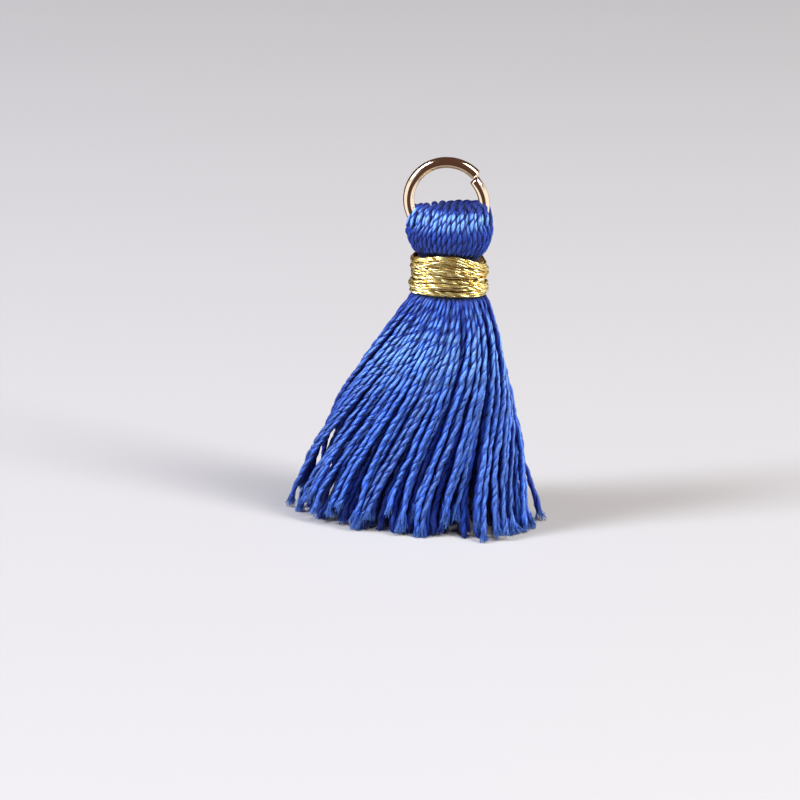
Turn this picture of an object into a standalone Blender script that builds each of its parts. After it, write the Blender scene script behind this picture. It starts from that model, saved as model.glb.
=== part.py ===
"""A mini silk tassel on a jump ring, standing on its cut ends.

A hank of two-ply yarn lies over the lower arc of an open wire ring, folds down on both sides of it
and is bound round the neck with metallic thread. Its loose ends spread into an oval skirt, which is
combed round a little and swept to the left as it falls.

Metres, +Z up, +X to the right and +Y away from the viewer. The origin is the middle of the skirt's
hem, on the floor. Sizes below are in millimetres and are scaled once, where a mesh is made.
"""

from collections import namedtuple
import math

import bmesh
import bpy
import numpy as np

MM = 0.001
GAP = 0.3  # clearance between pieces that touch in the real tassel

# The skirt, from the waist under the binding down to the floor
WAIST_Z = 21.8
WAIST_HALF_WIDTH = 3.3
WAIST_HALF_DEPTH = 1.95
HEM_HALF_WIDTH = 11.8
HEM_HALF_DEPTH = 5.4
SKIRT_BULGE = 0.45  # how much of its spread the skirt makes early
HEM_FLICK = 0.035  # share of the spread that comes in the last few millimetres
NECK_X = 3.05  # the neck stands to the right of the hem's middle
SWING_EASE = 1.2  # above 1, the skirt leaves the neck's middle later
SWIRL = math.radians(40)  # how far the strands are combed round on their way down
PART_Z = 19.4  # the strands are fused above this height and free below it
ROOT_Z = 20.2  # a strand's own top, inside the fused part
ROOT_THICKNESS = 0.27
RIB_STAND = 0.03  # how far the fused part's ribs stand out from the strands that they turn into
STRAND_THICKNESS = 0.5
FULL_BY = 0.3  # the fall over which a strand grows to its full thickness
WAVE = 0.14  # how far a strand strays from a smooth fall
LEAST_LIFT = -0.9  # drawn lifts from here to 0 end on the floor, and from there to 1 above it

# The neck and the head
NECK_HALF_WIDTH = 2.65
NECK_HALF_DEPTH = 1.45
HEAD_FOOT_Z = 26.4
HEAD_TOP_Z = 30.8
HEAD_RISE = 0.4  # the head's top leans up to the right by this much at its edge
HEAD_DROOP = 0.5  # the head's foot hangs lower at its two sides by this much
LOOPS = 56  # loops of yarn round the head, each a rib that runs on as an outer strand
GROOVE_DEPTH = 0.12

# The binding
BINDING_FOOT_Z = 22.1
BINDING_TOP_Z = 26.05
BINDING_TURNS = 11
TURN_RELIEF = 0.13
BINDING_HALF_WIDTHS = (3.72, 3.42)  # at its foot and at its top
BINDING_HALF_DEPTHS = (2.3, 2.2)
BINDING_SIDE_PINCH = 0.12  # its turns lie closer at the two sides by this share
BINDING_SIDE_DIP = 0.2  # and lower by this much
BINDING_COLUMNS = 40

# The jump ring
WIRE_RADIUS = 0.5
RING_RADIUS = 3.5  # to the middle of the wire
RING_Z = 30.95
RING_X = NECK_X - 0.2
RING_CUT_ANGLE = math.radians(41)
RING_CUT = 0.2
RING_SPRING = 0.15  # one cut end stands this much behind the other
RING_POINTS = 56

SkirtRing = namedtuple("SkirtRing", "reach strands lift steps")
SKIRT_RINGS = (
    # reach: share of the skirt's half width; lift: the most that an end stops above the floor;
    # steps: straight pieces in a strand, fewer where it is hidden
    SkirtRing(reach=1.00, strands=LOOPS, lift=1.3, steps=6),
    SkirtRing(reach=0.75, strands=38, lift=0.5, steps=6),
    SkirtRing(reach=0.49, strands=24, lift=0.0, steps=4),
    SkirtRing(reach=0.21, strands=10, lift=0.0, steps=3),
)

Section = namedtuple("Section", "z half_width half_depth groove")
NECK_AND_HEAD = (
    # from the shoulder under the binding to the fold over the ring; groove: share of GROOVE_DEPTH
    Section(z=WAIST_Z - 0.05, half_width=3.5, half_depth=2.15, groove=1.0),
    Section(z=WAIST_Z, half_width=NECK_HALF_WIDTH, half_depth=NECK_HALF_DEPTH, groove=0.0),
    Section(z=HEAD_FOOT_Z - 0.05, half_width=NECK_HALF_WIDTH, half_depth=NECK_HALF_DEPTH, groove=0.0),
    Section(z=HEAD_FOOT_Z, half_width=3.1, half_depth=2.0, groove=1.0),
    Section(z=27.1, half_width=3.65, half_depth=2.45, groove=1.0),
    Section(z=28.0, half_width=3.96, half_depth=2.72, groove=1.0),
    Section(z=28.9, half_width=3.95, half_depth=2.7, groove=1.0),
    Section(z=29.7, half_width=3.8, half_depth=2.3, groove=1.0),
    Section(z=30.35, half_width=3.52, half_depth=1.4, groove=1.0),
    Section(z=HEAD_TOP_Z, half_width=3.3, half_depth=0.0, groove=1.0),
)

Finish = namedtuple("Finish", "colour metallic roughness")
FINISHES = {
    "yarn_bundle": Finish(colour=(0.035, 0.085, 0.42, 1), metallic=0.0, roughness=0.45),
    "binding": Finish(colour=(0.72, 0.52, 0.16, 1), metallic=1.0, roughness=0.3),
    "jump_ring": Finish(colour=(0.83, 0.66, 0.47, 1), metallic=1.0, roughness=0.12),
}


def clear_scene():
    for thing in list(bpy.data.objects):
        bpy.data.objects.remove(thing, do_unlink=True)


def new_collection(name):
    collection = bpy.data.collections.new(name)
    bpy.context.scene.collection.children.link(collection)
    return collection


def finish_of(name):
    material = bpy.data.materials.new(name)
    material.use_nodes = True
    shader = material.node_tree.nodes["Principled BSDF"]
    shader.inputs["Base Color"].default_value = FINISHES[name].colour
    shader.inputs["Metallic"].default_value = FINISHES[name].metallic
    shader.inputs["Roughness"].default_value = FINISHES[name].roughness
    return material


def fall_at(z):
    """How far down the skirt a height lies: 0 at the waist and 1 on the floor."""
    return 1 - z / WAIST_Z


def skirt_half_sizes(fall):
    """Half width and half depth of the skirt: it spreads fastest under the waist and flicks out last."""
    spread = fall + SKIRT_BULGE * fall * (1 - fall) + HEM_FLICK * fall**8
    half_width = WAIST_HALF_WIDTH + (HEM_HALF_WIDTH - WAIST_HALF_WIDTH) * spread
    half_depth = WAIST_HALF_DEPTH + (HEM_HALF_DEPTH - WAIST_HALF_DEPTH) * spread
    return np.array([half_width, half_depth])


def skirt_middle(fall):
    """X of the skirt's middle, which swings from the neck to the hem like a quarter of a sine wave."""
    return NECK_X * (1 - np.sin(math.pi / 2 * fall) ** SWING_EASE)


def combed_round(fall):
    """Angle that the strands have turned by at this fall: a smooth step from none to SWIRL."""
    return SWIRL * (3 * fall**2 - 2 * fall**3)


def oval(half_width, half_depth, turn, middle_x):
    """X and Y of points on a horizontal oval. Even steps of the turn are even steps along its rim.

    The oval's own angle t has t - e sin 2t = turn, which repeating t = turn + e sin 2t solves.
    """
    unevenness = (half_width - half_depth) / (half_width + half_depth) / 2
    angle = turn
    for _ in range(8):
        angle = turn + unevenness * np.sin(2 * angle)
    return middle_x + half_width * np.cos(angle), half_depth * np.sin(angle)


def stacked_rows(rows):
    """Quads of a closed stack of rings: each row's points join the next row's, all the way round."""
    row_count, column_count = rows
    row, column = np.meshgrid(np.arange(row_count - 1), np.arange(column_count), indexing="ij")
    after = (column + 1) % column_count
    corners = (row, column), (row, after), (row + 1, after), (row + 1, column)
    return np.stack([r * column_count + c for r, c in corners], axis=-1).reshape(-1, 4)


def mesh_object(name, points, faces, collection):
    """An object from points in millimetres, its doubles merged and its faces turned outwards."""
    mesh = bpy.data.meshes.new(name)
    mesh.from_pydata((np.asarray(points) * MM).tolist(), [], faces)
    cage = bmesh.new()
    cage.from_mesh(mesh)
    bmesh.ops.remove_doubles(cage, verts=cage.verts, dist=1e-7)
    bmesh.ops.recalc_face_normals(cage, faces=cage.faces)
    if cage.calc_volume(signed=True) < 0:
        bmesh.ops.reverse_faces(cage, faces=cage.faces)
    cage.to_mesh(mesh)
    cage.free()
    shape = bpy.data.objects.new(name, mesh)
    collection.objects.link(shape)
    return shape


def hide_helper(shape):
    shape.hide_render = True
    shape.display_type = "WIRE"


def head_rows():
    """Points of the fused part in rows: the strands' roots, the neck in the binding, and the head.

    Each row is an oval whose every other point is drawn in, so that ribs run up the front, over the
    top and down the back, where the last row has no depth and its two halves meet.
    """
    angle = np.arange(2 * LOOPS) * math.pi / LOOPS
    in_groove = np.arange(2 * LOOPS) % 2
    rows = []
    for z in (PART_Z, (PART_Z + WAIST_Z) / 2):
        fall = fall_at(z)
        half_width, half_depth = skirt_half_sizes(fall)
        reach = ROOT_THICKNESS / 2 + RIB_STAND - GROOVE_DEPTH * in_groove
        turned = angle - combed_round(fall)
        x, y = oval(half_width + reach, half_depth + reach, turned, skirt_middle(fall))
        rows.append(np.stack([x, y, np.full_like(x, z)], axis=-1))
    for section in NECK_AND_HEAD:
        drawn_in = GROOVE_DEPTH * section.groove * in_groove
        half_depth = np.maximum(section.half_depth - drawn_in, 0)
        x, y = oval(section.half_width - drawn_in, half_depth, angle, NECK_X)
        height = max(section.z - HEAD_FOOT_Z, 0) / (HEAD_TOP_Z - HEAD_FOOT_Z)
        to_side = (x - NECK_X) / section.half_width
        lean = HEAD_RISE * height**2 * to_side
        droop = HEAD_DROOP * (1 - height) * to_side**2 if section.z > WAIST_Z else 0
        fold = drawn_in * height**4
        rows.append(np.stack([x, y, section.z + lean - droop - fold], axis=-1))
    return np.array(rows)


def yarn_head(collection):
    rows = head_rows()
    row_count, column_count = rows.shape[:2]
    faces = stacked_rows((row_count, column_count)).tolist()
    faces.append(list(range(column_count)))  # the underside, between the strands
    return mesh_object("yarn_bundle", rows.reshape(-1, 3), faces, collection)


def strand_middles(ring, random):
    """Middles of the sections of one ring's strands, as an array of strands by steps by X, Y, Z.

    A strand keeps its place on its ring, a share of the skirt's oval, while the oval spreads, is
    combed round and moves to the left. A small wave takes it off that path.
    """
    count = ring.strands
    half_turn_step = 0.5 * (ring.reach < 1)
    turn = (np.arange(count)[:, None] + half_turn_step) * 2 * math.pi / count
    end_z = ring.lift * np.clip(random.uniform(LEAST_LIFT, 1, (count, 1)), 0, 1)
    z = ROOT_Z + (end_z - ROOT_Z) * np.linspace(0, 1, ring.steps + 1)
    fall = fall_at(z)
    half_width, half_depth = ring.reach * skirt_half_sizes(fall)
    x, y = oval(half_width, half_depth, turn - combed_round(fall), skirt_middle(fall))
    bend = 2 * math.pi * (random.uniform(0.6, 1.4, (count, 1)) * fall + random.uniform(0, 1, (count, 1)))
    sway_x, sway_y = random.uniform(-WAVE, WAVE, (2, count, 1)) * fall**1.5
    return np.stack([x + sway_x * np.sin(bend), y + sway_y * np.cos(bend), z], axis=-1)


def strand_corners(middles):
    """Corners of the strands' level square sections, each with a side that faces out of the skirt."""
    fall = fall_at(middles[..., 2])
    grown = np.clip((fall - fall_at(PART_Z)) / FULL_BY, 0, 1)
    side = ROOT_THICKNESS + (STRAND_THICKNESS - ROOT_THICKNESS) * grown
    half_width, half_depth = skirt_half_sizes(fall)
    out_x = (middles[..., 0] - skirt_middle(fall)) / half_width**2
    out_y = middles[..., 1] / half_depth**2
    corner = np.arctan2(out_y, out_x)[..., None] + math.pi / 4 + np.arange(4) * math.pi / 2
    reach = side[..., None] / math.sqrt(2)
    offset = np.stack([reach * np.cos(corner), reach * np.sin(corner), np.zeros_like(corner)], axis=-1)
    return middles[..., None, :] + offset


def strands(collection):
    """Every strand as a four-sided tube with a level cut end."""
    random = np.random.RandomState(5)
    points, faces = [], []
    for ring in SKIRT_RINGS:
        one_strand = stacked_rows((ring.steps + 1, 4)).tolist()
        one_strand += [[0, 1, 2, 3], [4 * ring.steps + corner for corner in range(4)]]
        for corners in strand_corners(strand_middles(ring, random)):
            first = len(points)
            points.extend(corners.reshape(-1, 3))
            faces.extend([first + index for index in face] for face in one_strand)
    return mesh_object("skirt_strands", points, faces, collection)


def ring_tunnel(collection):
    """The way that the ring's lower arc takes through the head, a gap wider than the wire."""
    bpy.ops.mesh.primitive_torus_add(
        major_radius=RING_RADIUS * MM,
        minor_radius=(WIRE_RADIUS + GAP) * MM,
        major_segments=40,
        minor_segments=10,
        location=(RING_X * MM, 0, RING_Z * MM),
        rotation=(math.pi / 2, 0, 0),
    )
    tunnel = bpy.context.object
    tunnel.name = "ring_tunnel"
    for holder in list(tunnel.users_collection):
        holder.objects.unlink(tunnel)
    collection.objects.link(tunnel)
    return tunnel


def combine(shape, other, operation):
    change = shape.modifiers.new(other.name, "BOOLEAN")
    change.operation = operation
    change.solver = "EXACT"
    change.object = other
    hide_helper(other)


def yarn_bundle(collection, helpers):
    bundle = yarn_head(collection)
    combine(bundle, strands(helpers), "UNION")
    combine(bundle, ring_tunnel(helpers), "DIFFERENCE")
    bundle.data.materials.append(finish_of("yarn_bundle"))


def binding(collection):
    """An oval sleeve of ridged turns: the profile goes up its outside and down its inside."""
    angle = np.arange(BINDING_COLUMNS) * 2 * math.pi / BINDING_COLUMNS
    middle_z = (BINDING_FOOT_Z + BINDING_TOP_Z) / 2
    to_side = np.cos(angle) ** 2
    pinch = 1 - BINDING_SIDE_PINCH * to_side
    rows = []

    def add_row(z, half_width, half_depth):
        x, y = oval(half_width, half_depth, angle, NECK_X)
        level = middle_z + (z - middle_z) * pinch - BINDING_SIDE_DIP * to_side
        rows.append(np.stack([x, y, level], axis=-1))

    for step in range(2 * BINDING_TURNS + 1):
        share = step / (2 * BINDING_TURNS)
        z = BINDING_FOOT_Z + (BINDING_TOP_Z - BINDING_FOOT_Z) * share
        between_turns = TURN_RELIEF * (step % 2 == 0)
        half_width = BINDING_HALF_WIDTHS[0] + (BINDING_HALF_WIDTHS[1] - BINDING_HALF_WIDTHS[0]) * share
        half_depth = BINDING_HALF_DEPTHS[0] + (BINDING_HALF_DEPTHS[1] - BINDING_HALF_DEPTHS[0]) * share
        add_row(z, half_width - between_turns, half_depth - between_turns)
    for z in (BINDING_TOP_Z, BINDING_FOOT_Z):
        add_row(z, NECK_HALF_WIDTH + GAP, NECK_HALF_DEPTH + GAP)
    rows.append(rows[0])  # back to the start, where the doubles are merged

    points = np.array(rows)
    faces = stacked_rows(points.shape[:2]).tolist()
    sleeve = mesh_object("binding", points.reshape(-1, 3), faces, collection)
    sleeve.data.materials.append(finish_of("binding"))


def jump_ring(collection):
    """A round wire bent to a ring, its two ends a hair apart and a little out of line."""
    half_cut = RING_CUT / RING_RADIUS / 2
    share = np.linspace(0, 1, RING_POINTS)
    angle = RING_CUT_ANGLE + half_cut + (2 * math.pi - 2 * half_cut) * share
    centre_line = np.stack(
        [
            RING_X + RING_RADIUS * np.cos(angle),
            RING_SPRING * (share - 0.5),
            RING_Z + RING_RADIUS * np.sin(angle),
            np.ones_like(angle),
        ],
        axis=-1,
    )
    centre_line[:, :3] *= MM
    curve = bpy.data.curves.new("jump_ring", "CURVE")
    curve.dimensions = "3D"
    curve.bevel_depth = WIRE_RADIUS * MM
    curve.bevel_resolution = 2
    curve.use_fill_caps = True
    spline = curve.splines.new("POLY")
    spline.points.add(RING_POINTS - 1)
    spline.points.foreach_set("co", centre_line.ravel())
    ring = bpy.data.objects.new("jump_ring", curve)
    ring.data.materials.append(finish_of("jump_ring"))
    collection.objects.link(ring)


def build_tassel():
    clear_scene()
    tassel = new_collection("silk_tassel")
    helpers = new_collection("cutters_and_guides")
    yarn_bundle(tassel, helpers)
    binding(tassel)
    jump_ring(tassel)


build_tassel()
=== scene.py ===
"""The looks of a silk tassel on a jump ring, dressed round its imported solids.

Sizes and places are worked out in millimetres, on the same oval layout as the solids, and are scaled
to metres once, where a mesh is made.
"""

import math

import bpy
import numpy as np
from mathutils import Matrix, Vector


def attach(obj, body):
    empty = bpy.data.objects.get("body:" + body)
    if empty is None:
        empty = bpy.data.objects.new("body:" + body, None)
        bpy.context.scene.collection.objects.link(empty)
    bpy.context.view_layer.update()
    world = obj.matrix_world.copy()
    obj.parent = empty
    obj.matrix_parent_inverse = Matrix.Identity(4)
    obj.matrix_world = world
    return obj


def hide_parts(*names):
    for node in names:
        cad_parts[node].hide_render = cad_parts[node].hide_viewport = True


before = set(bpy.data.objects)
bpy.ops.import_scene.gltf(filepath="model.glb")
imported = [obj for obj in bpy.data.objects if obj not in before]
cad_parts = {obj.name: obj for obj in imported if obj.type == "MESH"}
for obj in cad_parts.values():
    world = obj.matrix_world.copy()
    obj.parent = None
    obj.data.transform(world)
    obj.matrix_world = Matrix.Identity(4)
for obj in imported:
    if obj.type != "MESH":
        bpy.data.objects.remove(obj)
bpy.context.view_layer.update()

MM = 0.001
TURN = 2 * math.pi

# The camera: 11 pixels to the millimetre at the neck, in a frame of 800 by 800 pixels
CAMERA_AZIMUTH = math.radians(11.5)
CAMERA_ELEVATION = math.radians(20)
CAMERA_DISTANCE = 400.0
CAMERA_LENS = 198.0
NECK_IN_FRAME = (49.0, 108.4)  # pixels right of and above the middle of the frame
PIXELS_TO_MM = 11.0

# The skirt, as its solids are laid out
WAIST_Z = 21.8
WAIST_HALF_WIDTH = 3.3
WAIST_HALF_DEPTH = 1.95
HEM_HALF_WIDTH = 11.8
HEM_HALF_DEPTH = 5.4
SKIRT_BULGE = 0.45  # how much of its spread the skirt makes early
HEM_FLICK = 0.035  # how much the strands turn outwards just above the floor
NECK_X = 3.05
SWING_EASE = 1.2  # the power that eases the skirt's swing to the left
SWIRL = math.radians(40)  # how far round the strands are combed from the waist to the hem

# The yarn's courses through the skirt
COURSE_TOP_Z = 22.5  # a strand's hidden top, inside the binding
COURSE_LEVELS = 28
SKIRT_RINGS = (
    # share of the skirt's oval, strands, and the range from which is drawn how far an end stops above
    # the least height: a draw below 0 stops there
    (1.00, 62, -0.1, 2.2),
    (0.84, 58, -0.5, 0.7),
    (0.64, 46, -0.3, 0.3),
    (0.40, 30, -0.2, 0.2),
    (0.17, 12, -0.2, 0.2),
)
LEAST_END_Z = 0.1  # a strand's path ends at least this high, as its fibres go on past its end
HEM_CORNER = math.radians(-42)  # where the hem reaches out of its oval, at the front right
HEM_CORNER_REACH = 0.17
HEM_LOW = math.radians(-12)  # round the right, where the cut ends all come down close to the floor
IN_BINDING = 0.3  # how much the binding squeezes the skirt's oval on each side
WAIST_SPACING = 0.38  # from one strand's middle to the next one's, where they leave the binding
SPACING_GAIN = 0.17  # and how much more further down
BUNCHES = ((7, 0.035, 0.6), (12, 0.02, 2.0), (19, 0.02, 4.4))  # strands gather: waves, reach, start

# The head: the loops' outline from inside the binding up to the fold over the ring
HEAD_FOOT_Z = 26.4
HEAD_TOP_Z = 30.8
HEAD_RISE = 0.52  # the head's top leans up to the right by this much at its edge
HEAD_DROOP = 0.5  # the head's foot hangs lower at its two sides by this much
HEAD_LOOPS = 21
HEAD_OUTLINE = (
    # height, half width, half depth
    (25.4, 2.7, 1.5),
    (25.95, 2.88, 1.68),
    (26.5, 3.32, 2.2),
    (27.2, 3.68, 2.52),
    (28.0, 3.93, 2.7),
    (28.9, 3.97, 2.7),
    (29.6, 3.9, 2.4),
    (30.2, 3.74, 1.75),
    (30.45, 3.45, 1.0),
    (30.55, 2.9, 0.0),
)
HEAD_WIDEST = (3.97, 2.72)
LOOP_IN = 0.22  # from that outline in to the middle of a loop
CROWDED_IN = 0.26  # and how much more, for every other loop where they crowd towards the fold
HEAD_FILLING_IN = 0.42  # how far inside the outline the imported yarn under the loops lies
PACKED_PAINTED_SHADE = -0.5  # painted shade: it lies less open than nothing, painted darker than any groove, as no light gets down to it

# The metallic thread
BINDING_FOOT_Z = 22.1
BINDING_TOP_Z = 26.35
BINDING_HALF_WIDTHS = (3.72, 3.42)  # at its foot and at its top
BINDING_HALF_DEPTHS = (2.3, 2.2)
BINDING_FOOT_DIP = 0.08  # its foot and its top hang lower at its two sides by this much
BINDING_TOP_DIP = 0.7
BINDING_TURNS = 13
THREAD_HALF = 0.16  # half of the thread's thickness
THREAD_TWIST = 2.5  # one whole turn of its two plies
TURN_WANDER = 0.16  # how far up and down a turn wanders
KNUCKLES = (23.05, 24.65)  # heights where the turns gather at the right side
KNUCKLE_PULL = 0.4  # how much of the way there they go
UNDER_LAYER_HEIGHTS = (22.25, 25.85)
CROSSING_OUT = 0.12  # how far outside the turns the crossing ones lie
CROSSING_TURNS = (
    # heights at the right, front right, front, front left, left and back of the neck
    (24.9, 24.5, 24.4, 24.9, 25.9, 25.4),
    (24.6, 23.6, 23.2, 23.0, 23.1, 23.9),
    (25.0, 25.5, 25.6, 25.3, 24.9, 25.0),
)
CROSSING_ANGLES = (0, 45, 90, 135, 180, 270, 360)  # degrees from the right, going round the front

# The jump ring
WIRE_RADIUS = 0.5
WIRE_EDGE = 0.07  # its cut ends' edges are worn round over this much
RING_RADIUS = 3.5
RING_Z = 30.8
RING_X = NECK_X - 0.2
RING_CUT_ANGLE = math.radians(41)
RING_CUT = 0.14
RING_END_IN = 0.3  # how far inwards its lower cut end has moved
RING_END_BENT = 0.22  # the share of the ring over which that end is bent inwards
RING_SPRING = 0.36  # how far in front of the upper cut end the lower one stands
RING_TURNED = math.radians(6)  # it has swivelled on its yarn, the right side away from the viewer

# Two-ply yarn
PLY_APART = 0.100  # from the strand's middle to a ply's middle
PLY_THICK = 0.172  # half a ply, across the strand's middle
PLY_WIDE = 0.208  # half a ply, along the face where the two plies meet
HEAD_PLY = (0.112, 0.150, 0.200)  # the same three for the head's loops, which are drawn tight
TWIST = 2.6  # one whole turn of the two plies about each other
HEAD_TWIST = 2.1
STRAND_BUILDS = (0.84, 1.06)  # the thinnest and the thickest strand, as a share of these sizes
BUILD_WAVE = 0.14  # how much a strand's thickness comes and goes along it, as a share of it
STRAND_STRAY = 0.055  # how far a strand strays from its course in short waves
UNTWISTED = 3.0  # how far up from its cut end a strand has untwisted
CUT_END = (-1, -4)  # the rows of a strand that tell its cut end and which way it points
FIBRES_IN_PLY = 20  # the real brush has hundreds: this is as many as show
FIBRE_RADIUS = 0.052
FIBRE_LENGTH = 1.3
FIBRE_SPREAD = 0.18

# Colours, as sRGB hex values
# Painted shade: the deep blue in the grooves between plies and strands
BLUE_PAINTED_SHADE_IN_GROOVES = "#01117c"
BLUE_STRANDS = ("#0c2782", "#1c4cbc")  # the darkest and the lightest strand
# Painted highlight: the pale blue on the crowns of the plies
BLUE_PAINTED_HIGHLIGHT_ON_CROWNS = "#74a8f0"
BLUE_GLOSS = "#a8ccff"
# Painted shade: the brown in the grooves between the gold plies and on the under layer
GOLD_PAINTED_SHADE_IN_GROOVES = "#8a5f12"
GOLD_FACES = ("#d4ac46", "#fffbc0")  # in a crease, darker and deeper as painted shade, and beside it
PALE_GOLD = "#f4e6d2"
WHITE_CARD = "#aaabaf"
DARK_WALL = "#533a30"
PALE_WALL = "#fff8f0"

# The studio, in metres
FLOOR_RADIUS = 3.0
LIT_POINT = (0.002, 0, 0.02)  # the middle of the tassel, which every window looks at

# The windows: azimuth and elevation in degrees, metres away, watts, metres wide and high, colour,
# and whether the metal mirrors it
WINDOWS = (
    ("right_window", 74, 40, 0.55, 4.3, (0.14, 0.42), "#fffaf2", True),
    ("left_window", -64, 38, 0.6, 5.5, (0.14, 0.42), "#f3f6ff", True),
    ("high_window", 20, 62, 0.7, 2.1, (0.14, 0.10), "#fffdf8", False),
)


def smooth_step(value):
    """0 below 0, 1 above 1, and 3v^2 - 2v^3 between."""
    value = np.clip(value, 0, 1)
    return value * value * (3 - 2 * value)


def nearness(angle, centre, width):
    """A bell curve of an angle's distance from a centre, both ways round."""
    return np.exp(-(((angle - centre + TURN / 2) % TURN - TURN / 2) / width) ** 2)


def wander(random, count, places, longest, shortest):
    """Smooth noise along each of many lines: the mean of three sines of random length and start."""
    waves = TURN / random.uniform(shortest, longest, (3, count, 1))
    return np.sin(waves * places + random.uniform(0, TURN, (3, count, 1))).mean(axis=0)


def fall_at(z):
    """How far down the skirt a height lies: 0 at the waist and 1 on the floor."""
    return 1 - z / WAIST_Z


def skirt_half_sizes(fall):
    """Half width and half depth of the skirt: waist + (hem - waist) times the spread at this fall."""
    spread = fall + SKIRT_BULGE * fall * (1 - fall) + HEM_FLICK * np.clip(fall, 0, 1) ** 8
    half_width = WAIST_HALF_WIDTH + (HEM_HALF_WIDTH - WAIST_HALF_WIDTH) * spread
    half_depth = WAIST_HALF_DEPTH + (HEM_HALF_DEPTH - WAIST_HALF_DEPTH) * spread
    return np.array([half_width, half_depth])


def skirt_middle(fall):
    """X of the skirt's middle: the neck's, less a quarter sine wave of the fall."""
    return NECK_X * (1 - np.sin(TURN / 4 * np.clip(fall, 0, 1)) ** SWING_EASE)


def oval(half_width, half_depth, turn, middle_x):
    """Points on a level oval, evenly along its rim: the angle t is solved from t - e sin 2t = turn."""
    unevenness = (half_width - half_depth) / (half_width + half_depth) / 2
    angle = turn
    for _ in range(8):
        angle = turn + unevenness * np.sin(2 * angle)
    return middle_x + half_width * np.cos(angle), half_depth * np.sin(angle)


def course(knots, place):
    """Points at the given places along smooth curves through each row of knots.

    Between two knots it is the cubic through them whose slope at a knot is half the step between the
    knots on both sides of it.
    """
    last = knots.shape[1] - 1
    first = np.clip(np.floor(place).astype(int), 0, last - 1)
    t = (place - first)[..., None]
    before, start, end, after = (
        np.take_along_axis(knots, np.clip(first + step, 0, last)[..., None], axis=1)
        for step in (-1, 0, 1, 2)
    )
    slope_0, slope_1 = (end - before) / 2, (after - start) / 2
    return (
        (2 * t**3 - 3 * t**2 + 1) * start
        + (t**3 - 2 * t**2 + t) * slope_0
        + (3 * t**2 - 2 * t**3) * end
        + (t**3 - t**2) * slope_1
    )


def unit(vectors):
    """Vectors made one long: each over the root of the sum of its squares."""
    return vectors / np.linalg.norm(vectors, axis=-1, keepdims=True)


def axes_along(middles, level):
    """Two normals at each point of paths: level x tangent, and tangent x that."""
    tangent = unit(np.gradient(middles, axis=1))
    side = unit(np.cross(level, tangent))
    return side, np.cross(tangent, side)


def lengths_along(middles):
    """The length along each path up to each of its points: the sum of the steps before it."""
    steps = np.linalg.norm(np.diff(middles, axis=1), axis=-1)
    return np.concatenate([np.zeros((len(middles), 1)), np.cumsum(steps, axis=1)], axis=1)


def two_ply(middles, level, outward, buried, twist, start_turn, apart, thick, wide, sides):
    """Both plies of each strand: ellipses carried along its path and turned round it as it goes.

    A point is middle + (apart + thick cos t) r + (wide sin t) s, where r and s are the path's normals
    turned by 2 pi length / twist. The second ply is half a turn on. Right-handed, as Z-twist yarn is.
    With each point goes how open it lies: how far it stands out of its strand's middle, as a share of the
    strand's half, less the share that its neighbours bury. From it the materials paint shade in the grooves
    and a highlight on the crowns.
    """
    length = lengths_along(middles)
    side, lift = (axis[:, None, :, None] for axis in axes_along(middles, level))
    turn = (start_turn + TURN * length / twist)[:, None] + np.array([0, TURN / 2])[:, None]
    turn = turn[..., None, None]
    to_ply = np.cos(turn) * side + np.sin(turn) * lift
    along_face = np.cos(turn) * lift - np.sin(turn) * side
    t = (np.arange(sides) * TURN / sides)[:, None]
    apart, thick, wide = (np.broadcast_to(size, length.shape)[:, None, :, None, None]
                          for size in (apart, thick, wide))
    offset = (apart + thick * np.cos(t)) * to_ply + wide * np.sin(t) * along_face
    stands_out = (offset * outward[:, None, :, None]).sum(axis=-1) / (apart + thick)[..., 0]
    # 0 deep in a groove, where shade is painted, to 1 on a crown, where a highlight is painted
    painted_light_openness = smooth_step((stands_out + 0.05 - buried) / 0.85)
    shape = (-1, middles.shape[1], sides)
    points = middles[:, None, :, None] + offset
    return points.reshape(*shape, 3), np.repeat(length, 2, axis=0), painted_light_openness.reshape(shape)


def round_tubes(middles, radius, sides):
    """Circles carried along paths: a point is middle + radius (side cos t + lift sin t), where side and
    lift are the path's normals."""
    side, lift = axes_along(middles, np.array([0, 1.0, 0]))
    t = (np.arange(sides) * TURN / sides)[:, None]
    around = np.cos(t) * side[:, :, None] + np.sin(t) * lift[:, :, None]
    return middles[:, :, None] + radius[:, :, None] * around


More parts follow.
